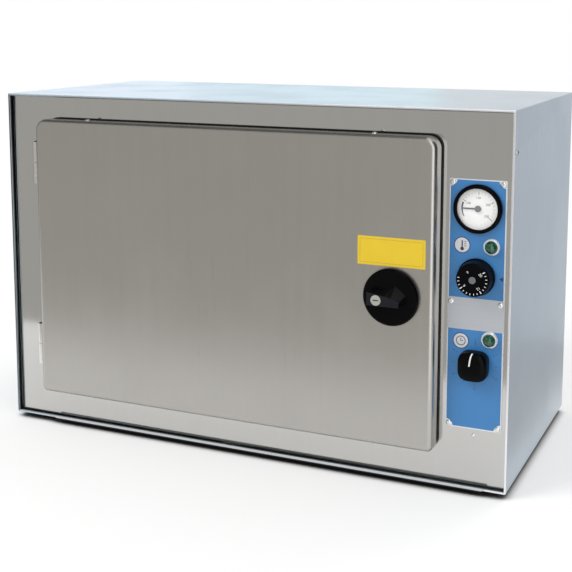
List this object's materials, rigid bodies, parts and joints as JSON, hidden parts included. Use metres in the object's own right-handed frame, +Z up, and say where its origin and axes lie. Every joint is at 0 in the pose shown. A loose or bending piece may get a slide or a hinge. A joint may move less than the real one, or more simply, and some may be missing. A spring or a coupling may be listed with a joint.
{
  "type": "hot air sterilizer",
  "caption": "Bench hot air sterilizer: steel cabinet with an insulated chamber, a side-hinged door with a turning lever latch, and a control column with thermometer and knobs.",
  "frame": {"origin": "middle of the floor rectangle under the whole apparatus, at the feet's lower faces", "axes": "+Z up, -Y out of the door's front, +X towards the control column"},
  "size_m": [0.6236, 0.357, 0.406],
  "materials": {
    "steel_case": "satin stainless sheet",
    "steel_front": "bright polished stainless sheet",
    "steel_door": "fine vertical brush",
    "steel_chamber": "dull pickled stainless sheet",
    "steel_plated": "bright zinc or nickel plate",
    "steel_inner": "galvanised sheet",
    "blue_plate": "anodised aluminium printed blue",
    "black_plastic": "gloss black moulding",
    "grey_plastic": "grey moulding",
    "dial_white": "white enamel",
    "pane": "clear pane",
    "lamp_green": "green lens",
    "wool": "mineral wool",
    "silicone": "black silicone",
    "foot_rubber": "black rubber",
    "copper": "copper capillary",
    "shelf_metal": "bare aluminium",
    "heater_sheath": "heat-darkened steel sheath"
  },
  "bodies": {
    "cabinet": {"casing_wrap": "steel_case", "front_panel": "steel_front", "back_panel": "steel_case", "base_tray": "steel_case", "feet": "foot_rubber", "foot_screws": "steel_plated", "chamber": "steel_chamber", "chamber_insulation": "wool", "shelf_rack_left": "steel_chamber", "shelf_rack_right": "steel_chamber", "heater_lower": "heater_sheath", "heater_upper": "heater_sheath", "heater_clips": "steel_inner", "door_gasket": "silicone", "compartment_divider": "steel_inner", "latch_keeper": "steel_inner", "hinge_fixed_leaves": "steel_plated", "hinge_pins": "steel_plated", "control_plate": "blue_plate", "control_plate_screws": "steel_plated", "panel_rivet": "steel_plated", "thermometer_case": "black_plastic", "thermometer_dial": "dial_white", "thermometer_glass": "pane", "thermometer_bulb": "copper", "thermostat_bulb": "copper", "pilot_lamp_bezels": "steel_plated", "pilot_lamp_lenses": "lamp_green", "pilot_lamp_bodies": "grey_plastic", "thermostat_body": "grey_plastic", "timer_body": "grey_plastic", "safety_cutout": "grey_plastic", "terminal_block": "grey_plastic", "cable_gland": "black_plastic", "gland_nut": "black_plastic", "vent_tube": "steel_chamber", "casing_screws": "steel_plated", "back_panel_screws": "steel_plated", "bulb_conduit": "steel_inner"},
    "door": {"door_skin": "steel_door", "door_liner": "steel_chamber", "door_insulation": "wool", "door_screws": "steel_plated", "handle_rosette": "black_plastic", "rosette_nut": "steel_plated", "hinge_lifting_leaves": "steel_plated"},
    "door_handle": {"handle_lever": "black_plastic", "handle_spindle": "steel_plated", "latch_cam": "steel_plated", "cam_nut": "steel_plated"},
    "lock": {"lock_cylinder": "steel_plated"},
    "thermostat_dial": {"thermostat_knob": "black_plastic", "thermostat_knob_cap": "grey_plastic", "thermostat_shaft": "steel_plated"},
    "timer_dial": {"timer_knob": "black_plastic", "timer_shaft": "steel_plated"},
    "needle": {"thermometer_needle": "black_plastic"},
    "lower_shelf": {"shelf_lower": "shelf_metal"},
    "upper_shelf": {"shelf_upper": "shelf_metal"}
  },
  "joints": [
    {"name": "door_hinge", "type": "hinge", "parent": "cabinet", "child": "door", "pos_m": [-0.2655, -0.1517, 0.208], "axis": [0, 0, -1], "range_deg": [0, 165]},
    {"name": "handle_turn", "type": "hinge", "parent": "door", "child": "door_handle", "pos_m": [0.188, -0.1661, 0.208], "axis": [0, 1, 0], "range_deg": [0, 90]},
    {"name": "lock_turn", "type": "hinge", "parent": "door_handle", "child": "lock", "pos_m": [0.1766, -0.1781, 0.207], "axis": [0, 1, 0], "range_deg": [0, 90]},
    {"name": "thermostat_turn", "type": "hinge", "parent": "cabinet", "child": "thermostat_dial", "pos_m": [0.2728, -0.1407, 0.233], "axis": [0, 1, 0], "range_deg": [0, 270]},
    {"name": "timer_turn", "type": "hinge", "parent": "cabinet", "child": "timer_dial", "pos_m": [0.2728, -0.1407, 0.14], "axis": [0, 1, 0], "range_deg": [0, 300]},
    {"name": "needle_sweep", "type": "hinge", "parent": "cabinet", "child": "needle", "pos_m": [0.2728, -0.1409, 0.304], "axis": [0, 1, 0], "range_deg": [0, 240]},
    {"name": "lower_shelf_slide", "type": "slide", "parent": "cabinet", "child": "lower_shelf", "axis": [0, -1, 0], "range_m": [0, 0.007]},
    {"name": "upper_shelf_slide", "type": "slide", "parent": "cabinet", "child": "upper_shelf", "axis": [0, -1, 0], "range_m": [0, 0.007]}
  ]
}
